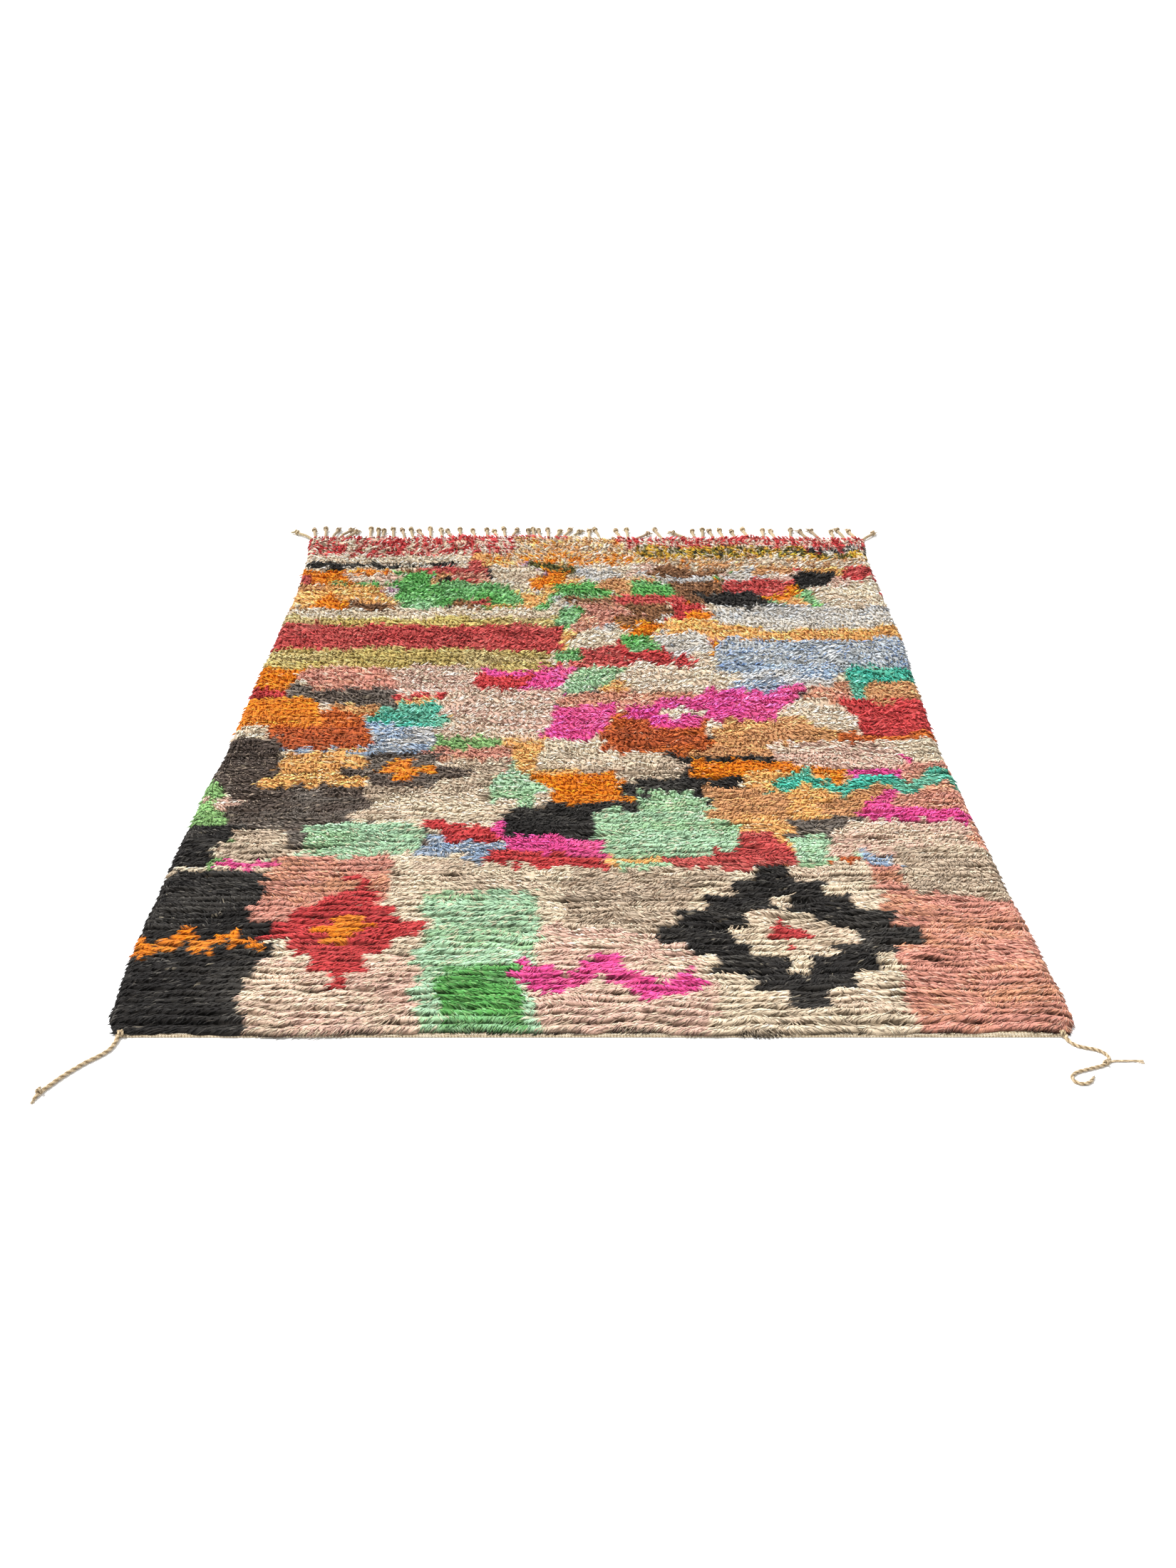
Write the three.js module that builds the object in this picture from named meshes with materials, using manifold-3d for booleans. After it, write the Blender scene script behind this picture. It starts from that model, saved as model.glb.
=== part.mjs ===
// A hand-knotted wool rug lying flat: thick pile in rope-like rows that lean to the near end, a woven hem
// at the near end, a knotted fringe on its own strip at the far end and a twisted cord at each near corner.
// Millimetres, +Z up, near end at -Y, far end at +Y. The origin is the middle of the flat underside.

import * as THREE from 'three';
import { mergeVertices } from 'three/addons/utils/BufferGeometryUtils.js';
import Module from 'manifold-3d';

const wasm = await Module();
wasm.setup();

// Driving sizes of the rug
const LENGTH = 2500;
const GAP = 0.3;
const STRIP_DEPTH = 8;
const STRIP_HEIGHT = 5;
const NEAR = -LENGTH / 2;
const FAR = LENGTH / 2 - STRIP_DEPTH - GAP;

// Half widths of the pile's tips on each side, from the near end to the far one
const SIDES = [
  { y: NEAR, left: 900, right: 893 },
  { y: -1205, left: 917, right: 909 },
  { y: -1000, left: 922, right: 899 },
  { y: -700, left: 915, right: 882 },
  { y: -400, left: 904, right: 870 },
  { y: -150, left: 887, right: 860 },
  { y: 150, left: 882, right: 866 },
  { y: 500, left: 871, right: 879 },
  { y: 800, left: 863, right: 874 },
  { y: 1050, left: 870, right: 873 },
  { y: FAR, left: 884, right: 888 },
];

// Pile: rows of locks that overlap like shingles, steep towards the near end
const ROWS = 132;
const PILE_NEAR = NEAR + 19;
const PILE_FAR = FAR - 8;
const ROW_PITCH = (PILE_FAR - PILE_NEAR) / ROWS;
const CREST_HEIGHT = 26;
const VALLEY_HEIGHT = 17.5;
const CREST_STEP = 0.36 * ROW_PITCH;
const COLUMNS = 8;
const LUMP_HEIGHT = 2.2;

// How rows wander from straight: two long waves, each with its height and its lengths along X and Y
const WAVES = [
  { height: 3.5, x: 140, y: 310 },
  { height: 2.1, x: 66, y: -190 },
];

// Locks at the rim, and how the slab's edge falls to the floor
const SHOULDER_IN = 17;
const SHOULDER_DROP = 3.5;
const TIP_HEIGHT = 8;
const RIM_LOCK = { out: 3.5, vary: 3.5, lift: 2, sag: 0.25 * ROW_PITCH };
const RIM_NOTCH = { out: -6.5, vary: 2, lift: 1, sag: 0 };
const FOOT_IN = 13;
const FOOT_ROWS = 4;
const HEEL_HEIGHT = STRIP_HEIGHT + 2;

// Ends of the rug as combs of locks: how many, and where their tips and the notches between them lie
const NEAR_COMB = {
  locks: 84,
  inset: { left: 14, right: 12 },
  tip: { y: NEAR + 6, z: 8, vary: 2.5 },
  notch: { y: NEAR + 12, z: 5, vary: 1 },
};
const FAR_COMB = {
  locks: 60,
  inset: { left: 5, right: 5 },
  tip: { y: FAR - 3, z: 14, vary: 1.2 },
  notch: { y: FAR - 7, z: 17, vary: 1.2 },
};

// Woven hem at the near end, part of the same cloth, as long as the comb of locks above it
const HEM_HEIGHT = 4;

// Fringe: plied cords, each with a knot and a short brush. A row is one clump: where its first cord
// leaves the strip, the step between cords and each cord's lean from straight out, in degrees.
const FRINGE = [
  { root: -874, step: 12, leans: [-46, -14] },
  { root: -833, step: 0, leans: [-2] },
  { root: -812, step: 21, leans: [12, 22, 32] },
  { root: -690, step: 22, leans: [-6, 2] },
  { root: -652, step: 38, leans: [2, -10] },
  { root: -580, step: 30, leans: [-8, -14] },
  { root: -517, step: 20, leans: [-16, -4] },
  { root: -458, step: 30, leans: [-12, -14, -10] },
  { root: -355, step: 39, leans: [-6, -3] },
  { root: -280, step: 20, leans: [-18, -2, 10] },
  { root: -186, step: 20, leans: [2, -4] },
  { root: -142, step: 20, leans: [-14, 0, 12, 24, 34] },
  { root: 8, step: 34, leans: [-3, -8] },
  { root: 113, step: 18, leans: [-18, 2, 48] },
  { root: 244, step: 0, leans: [-20] },
  { root: 330, step: 19, leans: [-42, -10, 8] },
  { root: 407, step: 33, leans: [-8, -12] },
  { root: 479, step: 43, leans: [-8, -15] },
  { root: 562, step: 42, leans: [8, -8] },
  { root: 653, step: 0, leans: [1] },
  { root: 709, step: 39, leans: [-15, -20] },
  { root: 788, step: 38, leans: [4, -10] },
  { root: 866, step: 12, leans: [-20, 44] },
];
const FRINGE_LENGTHS = [96, 88, 104, 92, 100, 84, 108];
const FRINGE_BENDS = [8, -6, 10, 4, -8];
const BEND_SHARE = 0.5;
const PLY_WIDTH = 10;
const PLY_HEIGHT = 9;
const ROOT_DEPTH = 3;
const STRIP_OVERHANG = 2;

// Profile of one fringe cord from its root to its tip, as shares of its length, width and height
const FRINGE_PROFILE = [
  { along: 0, wide: 0.9, tall: 0.5 },
  { along: 0.2, wide: 1, tall: 1 },
  { along: 0.6, wide: 1, tall: 1 },
  { along: 0.67, wide: 1.55, tall: 1.6 },
  { along: 0.79, wide: 1.55, tall: 1.6 },
  { along: 0.85, wide: 0.9, tall: 0.9 },
  { along: 1, wide: 1.5, tall: 0.8 },
];

// Corner cords: two plies twisted together. A route is the middle line seen from above, on the floor.
const CORD_SIDES = 8;
const CORD_STEP = 5;
const PLY_SHARE = 0.82;
const BRUSH_SHARE = 0.8;
const LEFT_CORD = {
  diameter: 8,
  turns: 8,
  route: [
    [-884, NEAR - GAP], [-884, -1262], [-886, -1275], [-890, -1288], [-899, -1301], [-911, -1313],
    [-925, -1326], [-938, -1341], [-950, -1356], [-961, -1371], [-971, -1387], [-980, -1401],
    [-985, -1410], [-988, -1418], [-990, -1426],
  ],
  knots: [{ along: 0.915, half: 0.042, swell: 1.6 }],
  brush: 0.96,
};
const RIGHT_CORD = {
  diameter: 7,
  turns: 11,
  route: [
    [878, NEAR - GAP], [878, -1257], [883, -1268], [893, -1278], [908, -1284], [921, -1288],
    [932, -1294], [940, -1304], [942, -1316], [936, -1327], [923, -1335], [906, -1341], [889, -1347],
    [873, -1353], [861, -1364], [862, -1378], [875, -1385], [889, -1380], [899, -1367],
  ],
  knots: [{ along: 0.03, half: 0.05, swell: 1.45 }, { along: 0.455, half: 0.035, swell: 1.7 }],
  brush: 0.97,
};
const TAIL = {
  diameter: 4.5,
  turns: 1,
  route: [[936, -1325], [948, -1321], [964, -1320], [984, -1320], [1004, -1323]],
  knots: [],
  brush: 1,
};

const WOOL = {
  pile: new THREE.MeshStandardMaterial({ name: 'pile wool', color: 0xc05a58, roughness: 0.95, metalness: 0 }),
  warp: new THREE.MeshStandardMaterial({ name: 'warp wool', color: 0xcdb898, roughness: 0.9, metalness: 0 }),
};

// An even spread of values from -1 to 1 that is the same each time
function scatter(index, salt) {
  const wave = Math.sin(index * 12.9898 + salt * 78.233) * 43758.5453;
  return 2 * (wave - Math.floor(wave)) - 1;
}

// Half width of the rug on one side at a distance along it, eased between the rows of SIDES
function halfWidth(side, y) {
  let next = SIDES.findIndex((row) => row.y >= y);
  next = next < 0 ? SIDES.length - 1 : Math.max(next, 1);
  const from = SIDES[next - 1];
  const to = SIDES[next];
  const share = Math.min(Math.max((y - from.y) / (to.y - from.y), 0), 1);
  return from[side] + (to[side] - from[side]) * share * share * (3 - 2 * share);
}

// How far a row wanders from its straight line
function wander(x, y) {
  return WAVES.reduce((sum, wave) => sum + wave.height * Math.sin(x / wave.x + y / wave.y), 0);
}

// A closed skin built from lines of points: each line runs the same way as the next
class Skin {
  constructor() {
    this.places = [];
    this.faces = [];
  }

  point(x, y, z) {
    this.places.push(x, y, z);
    return this.places.length / 3 - 1;
  }

  line(points) {
    return points.map((p) => this.point(...p));
  }

  // Joins two lines of any counts with triangles, keeping pace along both
  strip(a, b) {
    let i = 0;
    let j = 0;
    while (i < a.length - 1 || j < b.length - 1) {
      const nextA = (i + 1) / (a.length - 1);
      const nextB = (j + 1) / (b.length - 1);
      if (j === b.length - 1 || (i < a.length - 1 && nextA <= nextB)) {
        this.faces.push(a[i], a[i + 1], b[j]);
        i += 1;
      } else {
        this.faces.push(b[j], a[i], b[j + 1]);
        j += 1;
      }
    }
  }

  // Closes the flat underside within an outline that runs counter-clockwise from above
  underside(outline) {
    const flat = outline.map((p) => new THREE.Vector2(this.places[3 * p], this.places[3 * p + 1]));
    for (const [a, b, c] of THREE.ShapeUtils.triangulateShape(flat, [])) {
      const turn = flat[b].clone().sub(flat[a]).cross(flat[c].clone().sub(flat[a]));
      this.faces.push(outline[a], outline[turn > 0 ? c : b], outline[turn > 0 ? b : c]);
    }
  }

  geometry() {
    const geometry = new THREE.BufferGeometry();
    geometry.setAttribute('position', new THREE.Float32BufferAttribute(this.places, 3));
    geometry.setIndex(this.faces);
    return geometry;
  }
}

// Shares across the rug, from its left edge to its right one
function across(count) {
  return Array.from({ length: count + 1 }, (_, i) => i / count);
}

// A point on a straight line across the rug, kept a little inside its sides
function spread(share, y, inset) {
  const left = -halfWidth('left', y) + inset.left;
  const right = halfWidth('right', y) - inset.right;
  return left + (right - left) * share;
}

// One line of pile across the rug: a lock or a notch at each end, shoulders and a lumpy top between
function pileLine(skin, row, crest) {
  const y = PILE_NEAR + row * ROW_PITCH + (crest ? CREST_STEP : 0);
  const height = crest ? CREST_HEIGHT : VALLEY_HEIGHT;
  const inset = { left: SHOULDER_IN, right: SHOULDER_IN };
  const points = across(COLUMNS).map((share, i) => {
    const x = spread(share, y, inset);
    const edge = i === 0 || i === COLUMNS ? SHOULDER_DROP : 0;
    const lump = LUMP_HEIGHT * scatter(crest ? row : -row, i);
    return [x, y + wander(x, y), height + lump - edge];
  });
  const { out, vary, lift, sag } = crest ? RIM_LOCK : RIM_NOTCH;
  const left = -halfWidth('left', y) - out - vary * scatter(row, COLUMNS + 1);
  const right = halfWidth('right', y) + out + vary * scatter(row, COLUMNS + 2);
  const tip = TIP_HEIGHT + lift * scatter(row, COLUMNS + 3);
  points.unshift([left, y - sag + wander(left, y), tip]);
  points.push([right, y - sag + wander(right, y), tip]);
  return skin.line(points);
}

// A comb of locks along one end of the rug: tips reach out and down, notches stay in
function comb(skin, { locks, inset, tip, notch }) {
  return skin.line(across(2 * locks).map((share, i) => {
    const { y, z, vary } = i % 2 ? tip : notch;
    return [spread(share, y, inset), y + vary * scatter(i, 1), z + vary * scatter(i, 2) / 2];
  }));
}

function rugBody() {
  const skin = new Skin();
  const sole = across(COLUMNS).map((share) => [spread(share, NEAR, NEAR_COMB.inset), NEAR]);
  const solePoints = skin.line(sole.map(([x, y]) => [x, y, 0]));
  const hemTop = skin.line(sole.map(([x, y]) => [x, y, HEM_HEIGHT]));
  const nearComb = comb(skin, NEAR_COMB);

  const lines = [];
  for (let row = 0; row < ROWS; row += 1) {
    if (row > 0) {
      lines.push(pileLine(skin, row, false));
    }
    lines.push(pileLine(skin, row, true));
  }

  const farComb = comb(skin, FAR_COMB);
  const farFoot = { left: FOOT_IN, right: FOOT_IN };
  const heel = across(COLUMNS).map((share) => [spread(share, FAR, farFoot), FAR]);
  const heelTop = skin.line(heel.map(([x, y]) => [x, y, HEEL_HEIGHT]));
  const heelPoints = skin.line(heel.map(([x, y]) => [x, y, 0]));

  const bands = [hemTop, nearComb, ...lines, farComb, heelTop];
  skin.strip(solePoints, hemTop);
  for (let i = 1; i < bands.length; i += 1) {
    skin.strip(bands[i - 1], bands[i]);
  }
  skin.strip(heelTop, heelPoints);

  const leftRim = bands.map((line) => line[0]);
  const rightRim = bands.map((line) => line[line.length - 1]);
  const footRows = across(ROWS / FOOT_ROWS).slice(1, -1).map((share) => PILE_NEAR + share * (PILE_FAR - PILE_NEAR));
  const leftFoot = skin.line(footRows.map((y) => [-halfWidth('left', y) + FOOT_IN, y, 0]));
  const rightFoot = skin.line(footRows.map((y) => [halfWidth('right', y) - FOOT_IN, y, 0]));
  leftFoot.unshift(solePoints[0]);
  leftFoot.push(heelPoints[0]);
  rightFoot.unshift(solePoints[COLUMNS]);
  rightFoot.push(heelPoints[COLUMNS]);
  skin.strip(leftRim, leftFoot);
  skin.strip(rightFoot, rightRim);
  skin.underside([...solePoints, ...rightFoot.slice(1, -1), ...heelPoints.slice().reverse(),
    ...leftFoot.slice(1, -1).reverse()]);
  return skin.geometry();
}

// A closed mesh as a solid that can be joined to others
function solid(geometry) {
  const bare = geometry.clone();
  bare.deleteAttribute('normal');
  bare.deleteAttribute('uv');
  const merged = mergeVertices(bare, 1e-4);
  return new wasm.Manifold(new wasm.Mesh({
    numProp: 3,
    vertProperties: new Float32Array(merged.attributes.position.array),
    triVerts: new Uint32Array(merged.index.array),
  }));
}

function fromSolid(joined) {
  const mesh = joined.getMesh();
  const geometry = new THREE.BufferGeometry();
  geometry.setAttribute('position', new THREE.BufferAttribute(mesh.vertProperties, 3));
  geometry.setIndex(new THREE.BufferAttribute(mesh.triVerts, 1));
  return geometry;
}

// One fringe cord: a four-sided strand that lies level on the floor, bends a little and swells at its knot
function fringeCord(root, lean, length, bend) {
  const last = FRINGE_PROFILE.length - 1;
  const strand = new THREE.BoxGeometry(1, 1, last, 1, 1, last);
  const place = strand.attributes.position;
  const heading = THREE.MathUtils.degToRad(90 - lean);
  const turn = THREE.MathUtils.degToRad(bend);
  for (let i = 0; i < place.count; i += 1) {
    const { along, wide, tall } = FRINGE_PROFILE[Math.round(place.getZ(i) + last / 2)];
    const bearing = heading + turn * along * BEND_SHARE;
    const facing = heading + turn * along;
    const x = root + along * length * Math.cos(bearing);
    const y = LENGTH / 2 - ROOT_DEPTH + along * length * Math.sin(bearing);
    const side = -place.getX(i) * wide * PLY_WIDTH;
    const up = (place.getY(i) + 0.5) * tall * PLY_HEIGHT;
    place.setXYZ(i, x + side * Math.sin(facing), y - side * Math.cos(facing), up);
  }
  return solid(strand);
}

function farFringe() {
  const skin = new Skin();
  const overhang = { left: FOOT_IN - STRIP_OVERHANG, right: FOOT_IN - STRIP_OVERHANG };
  const edge = (y, z) => skin.line(across(1).map((share) => [spread(share, y, overhang), y, z]));
  const inner = LENGTH / 2 - STRIP_DEPTH;
  const loop = [edge(inner, 0), edge(inner, STRIP_HEIGHT), edge(LENGTH / 2, STRIP_HEIGHT), edge(LENGTH / 2, 0)];
  loop.forEach((line, i) => skin.strip(line, loop[(i + 1) % loop.length]));
  skin.faces.push(loop[0][0], loop[1][0], loop[2][0], loop[0][0], loop[2][0], loop[3][0]);
  skin.faces.push(loop[0][1], loop[2][1], loop[1][1], loop[0][1], loop[3][1], loop[2][1]);
  let joined = solid(skin.geometry());
  let count = 0;
  for (const clump of FRINGE) {
    clump.leans.forEach((lean, i) => {
      const length = FRINGE_LENGTHS[count % FRINGE_LENGTHS.length];
      const bend = FRINGE_BENDS[count % FRINGE_BENDS.length];
      joined = joined.add(fringeCord(clump.root + i * clump.step, lean, length, bend));
      count += 1;
    });
  }
  return fromSolid(joined);
}

// A cord made straight from two plies, twisted, swollen at its knots and laid along its route
function cordGeometry({ diameter, turns, route, knots, brush }) {
  const middle = new THREE.CatmullRomCurve3(route.map(([x, y]) => new THREE.Vector3(x, y, 0)), false, 'centripetal');
  const length = middle.getLength();
  const steps = Math.round(length / CORD_STEP);
  const section = new THREE.Shape(Array.from({ length: CORD_SIDES }, (_, i) => {
    const angle = (2 * Math.PI * i) / CORD_SIDES;
    const radius = 1 - (1 - PLY_SHARE) * Math.sin(angle) ** 2;
    return new THREE.Vector2(radius * Math.cos(angle), radius * Math.sin(angle));
  }));
  const cord = new THREE.ExtrudeGeometry(section, { depth: 1, steps, bevelEnabled: false });
  const place = cord.attributes.position;
  for (let i = 0; i < place.count; i += 1) {
    const along = THREE.MathUtils.clamp(place.getZ(i), 0, 1);
    let radius = diameter / 2;
    for (const knot of knots) {
      const near = Math.max(0, 1 - ((along - knot.along) / knot.half) ** 2);
      radius *= 1 + (knot.swell - 1) * Math.sqrt(near);
    }
    radius *= along > brush ? BRUSH_SHARE : 1;
    const twist = 2 * Math.PI * turns * along;
    const side = radius * (place.getX(i) * Math.cos(twist) - place.getY(i) * Math.sin(twist));
    const up = radius * (place.getX(i) * Math.sin(twist) + place.getY(i) * Math.cos(twist));
    const centre = middle.getPointAt(along);
    const ahead = middle.getTangentAt(along);
    place.setXYZ(i, centre.x - side * ahead.y, centre.y + side * ahead.x, radius + up);
  }
  return cord;
}

function rightCordGeometry() {
  return fromSolid(solid(cordGeometry(RIGHT_CORD)).add(solid(cordGeometry(TAIL))));
}

function piece(name, geometry, material) {
  const mesh = new THREE.Mesh(geometry, material);
  mesh.name = name;
  return mesh;
}

const rug = new THREE.Group();
rug.add(
  piece('rug_body', rugBody(), WOOL.pile),
  piece('far_fringe', farFringe(), WOOL.warp),
  piece('cord_near_left', cordGeometry(LEFT_CORD), WOOL.warp),
  piece('cord_near_right', rightCordGeometry(), WOOL.warp),
);

export default rug;
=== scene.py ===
# A hand-knotted wool rug lying flat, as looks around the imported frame: a woven ground, six bands of wool
# strands over rounded rows, a twined near hem and far edge, a knotted fringe and two twisted corner cords.
# Metres, +Z up, near end at -Y, far end at +Y. In each drift the divisors are the lengths of its hills, and
# the last number of a drift or a chance is its seed.

import math
from types import SimpleNamespace

import bpy
import numpy as np
from mathutils import Euler, Matrix, Vector


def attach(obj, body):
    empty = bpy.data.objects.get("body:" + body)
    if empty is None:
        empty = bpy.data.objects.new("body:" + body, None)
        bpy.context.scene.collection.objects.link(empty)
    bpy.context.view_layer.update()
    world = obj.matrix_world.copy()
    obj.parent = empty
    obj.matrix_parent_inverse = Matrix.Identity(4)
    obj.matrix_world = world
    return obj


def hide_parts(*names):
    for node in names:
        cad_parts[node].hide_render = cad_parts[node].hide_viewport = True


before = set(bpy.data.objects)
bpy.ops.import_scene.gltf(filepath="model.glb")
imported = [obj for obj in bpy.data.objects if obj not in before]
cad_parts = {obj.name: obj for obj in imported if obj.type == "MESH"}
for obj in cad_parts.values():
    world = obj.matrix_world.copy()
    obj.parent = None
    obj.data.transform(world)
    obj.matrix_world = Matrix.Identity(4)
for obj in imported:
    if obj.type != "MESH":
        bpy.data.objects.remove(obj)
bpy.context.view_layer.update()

# Driving sizes, the same as the part's
LENGTH = 2.5
STRIP_DEPTH = 0.008
GAP = 0.0003
NEAR = -LENGTH / 2
FAR = LENGTH / 2 - STRIP_DEPTH - GAP

# The outline, a row for each station: its y, and the rug's half widths to its left and right there
STATIONS, LEFT, RIGHT = np.array([
    (NEAR, 0.900, 0.893),
    (-1.205, 0.917, 0.909),
    (-1.000, 0.922, 0.899),
    (-0.700, 0.915, 0.882),
    (-0.400, 0.904, 0.870),
    (-0.150, 0.887, 0.860),
    (0.150, 0.882, 0.866),
    (0.500, 0.871, 0.879),
    (0.800, 0.863, 0.874),
    (1.050, 0.870, 0.873),
    (FAR, 0.884, 0.888),
]).T

# Rows of pile: shallow ones near, which grow over some rows to the deep ones far
ROWS = 94
PILE_NEAR = NEAR + 0.0070
PILE_FAR = FAR - 0.008
NEAR_PITCH = 0.0188
FAR_PITCH = 0.0350
WIDENING_ROWS = (40, 62)
BANDS = 6
SEED = 464

# Wools, as seen in even light
WOOLS = {
    "black": "292726", "charcoal": "5b4f48", "red": "c64446", "raspberry": "bd4f4d", "rose": "d69585",
    "pale pink": "dfb9a9", "cream": "e6d4ba", "taupe": "c3b09b", "tan": "d09a6d", "apricot": "f3b36c",
    "orange": "ea8319", "rust": "b85c34", "brown": "896143", "olive": "c6b06c", "gold": "d8a53a",
    "moss": "5c5a30", "mint": "aed4b1", "green": "5ca254", "leaf": "8ab574", "teal": "48b09b",
    "grey blue": "c0c4c6", "steel blue": "93a9c4", "blue": "6f8ec0", "grey": "8f8a82",
    "magenta": "ec5299", "mauve": "c09ab0", "silver": "dfd7cb",
}
NAMES = list(WOOLS)
UP = np.array([0, 0, 1.0])


def linear(code):
    """A hex colour as linear red, green and blue."""
    c = np.array([int(code[i:i + 2], 16) for i in (0, 2, 4)]) / 255
    return np.where(c <= 0.04045, c / 12.92, ((c + 0.055) / 1.055) ** 2.4)


WOOL_COLOURS = np.array([linear(WOOLS[name]) for name in NAMES])
WARP_COLOUR = linear("c4b090")
STRAY_COLOUR = linear("d8cbb2")


def chance(i, j, seed):
    """An even spread of values from -1 to 1 on whole-number places."""
    n = np.asarray(i, np.int64) * 374761393 + np.asarray(j, np.int64) * 668265263 + seed * 97531
    n = n & 0xFFFFFFFF
    n = ((n ^ (n >> 13)) * 1274126177) & 0xFFFFFFFF
    return ((n ^ (n >> 16)) & 0xFFFF) / 32767.5 - 1


def drift(x, y, seed):
    """A smooth field from -1 to 1 whose hills are one unit apart."""
    x, y = np.broadcast_arrays(np.asarray(x, float), np.asarray(y, float))
    i, j = np.floor(x), np.floor(y)
    u, v = x - i, y - j
    u, v = u * u * (3 - 2 * u), v * v * (3 - 2 * v)
    near = chance(i, j, seed) * (1 - u) + chance(i + 1, j, seed) * u
    far = chance(i, j + 1, seed) * (1 - u) + chance(i + 1, j + 1, seed) * u
    return near * (1 - v) + far * v


def blend(pair, share):
    """A value between the two of a pair."""
    return pair[0] + (pair[1] - pair[0]) * share


def unit(way):
    """A direction of length one."""
    return way / np.linalg.norm(way)


def half_width(widths, y):
    """Half width of the rug on one side at each y, eased between the stations."""
    y = np.clip(y, NEAR, FAR)
    k = np.clip(np.searchsorted(STATIONS, y) - 1, 0, len(STATIONS) - 2)
    share = (y - STATIONS[k]) / (STATIONS[k + 1] - STATIONS[k])
    return widths[k] + (widths[k + 1] - widths[k]) * share * share * (3 - 2 * share)


def side_edges(y, inset):
    """The x of the rug's left and right edges at each y, moved in a little."""
    return inset - half_width(LEFT, y), half_width(RIGHT, y) - inset


def wander(x, y):
    """How far a row strays from its straight line: the part's long waves, and shorter ones."""
    long_waves = 0.0035 * np.sin(x / 0.140 + y / 0.310) + 0.0021 * np.sin(x / 0.066 - y / 0.190)
    return long_waves + 0.0070 * drift(x / 0.060, y / 0.030, 11) + 0.0030 * drift(x / 0.021, y / 0.016, 12)


def row_lines():
    """The y of each crease between rows of pile."""
    share = np.clip((np.arange(ROWS) - WIDENING_ROWS[0]) / (WIDENING_ROWS[1] - WIDENING_ROWS[0]), 0, 1)
    ends = np.concatenate([[0], np.cumsum(blend((NEAR_PITCH, FAR_PITCH), share))])
    return PILE_NEAR + ends / ends[-1] * (PILE_FAR - PILE_NEAR)


ROW_LINES = row_lines()


def row_y(t):
    """The y of a place t rows from the near end of the pile."""
    beyond = np.minimum(t, 0) * NEAR_PITCH
    return np.interp(t, np.arange(ROWS + 1), ROW_LINES) + beyond


def row_depth(row):
    """How deep a row is, from its front crease to its back one."""
    row = np.clip(row, 0, ROWS - 1)
    return row_y(row + 1) - row_y(row)


def row_place(x, row, along):
    """The y of a place in a row, with the row's wander."""
    return row_y(row + along) + wander(x, row_y(row + 0.5))


# The design: each knot takes the wool of the last patch that holds it
def block(x0, x1, y0, y1, wool):
    middle = ((x0 + x1) / 2, (y0 + y1) / 2)
    half = ((x1 - x0) / 2, (y1 - y0) / 2)
    return dict(kind="block", at=middle, half=half, wool=wool)


def stripe(x0, x1, near, far, wool):
    """A block whose near and far edges are so far from the far end."""
    return block(x0, x1, FAR - near, FAR - far, wool)


def lozenge(x, y, half_x, half_y, wool, step=3):
    return dict(kind="lozenge", at=(x, y), half=(half_x, half_y), wool=wool, step=step)


def zigzag(x0, x1, y, half_y, swing, period, wool):
    middle, half = ((x0 + x1) / 2, y), ((x1 - x0) / 2, half_y)
    return dict(kind="zigzag", at=middle, half=half, wool=wool, swing=swing, period=period)


def patchwork(x0, x1, near, far, wide, tall, weights, seed):
    """Courses of blocks of uneven sizes with slanted ends, each wool unlike the one beside it."""
    rng = np.random.default_rng(seed)
    y0, y1 = FAR - near, FAR - far
    wools = list(weights)
    odds = np.array([weights[w] for w in wools], float)
    overlap = 2 * NEAR_PITCH
    blocks, y = [], y1
    while y > y0:
        height = rng.uniform(*tall)
        x, before = x0 - rng.uniform(0, wide[0]), None
        while x < x1:
            width = rng.uniform(*wide)
            while True:
                wool = wools[rng.choice(len(wools), p=odds / odds.sum())]
                if wool != before:
                    break
            shift = rng.integers(-2, 3) * NEAR_PITCH
            piece = block(x, x + width, y - height + shift - overlap, y + shift + overlap, wool)
            blocks.append(dict(piece, slant=rng.uniform(-0.7, 0.7)))
            before, x = wool, x + width
        y -= height
    order = rng.permutation(len(blocks))
    clip = (x0, x1, y0, y1)
    return [block(*clip, wools[0])] + [dict(blocks[k], clip=clip) for k in order]


# How often each wool comes up in the small patches far and in the medium ones at the middle
SMALL_WOOLS = {
    "cream": 5, "red": 3.2, "apricot": 2.6, "orange": 4, "green": 3, "brown": 2.6, "silver": 3, "moss": 0.6,
    "mauve": 0.5, "black": 1, "leaf": 0.6, "rose": 1.2, "tan": 1.2, "pale pink": 1.6, "raspberry": 2,
}
MEDIUM_WOOLS = {
    "cream": 3, "charcoal": 4, "orange": 3, "pale pink": 3, "rose": 3, "tan": 3, "mint": 2.5, "teal": 1.6,
    "magenta": 1.6, "red": 2, "steel blue": 2, "rust": 1.6, "taupe": 1.4, "black": 1.2, "raspberry": 1,
    "leaf": 0.6, "apricot": 1,
}


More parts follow.
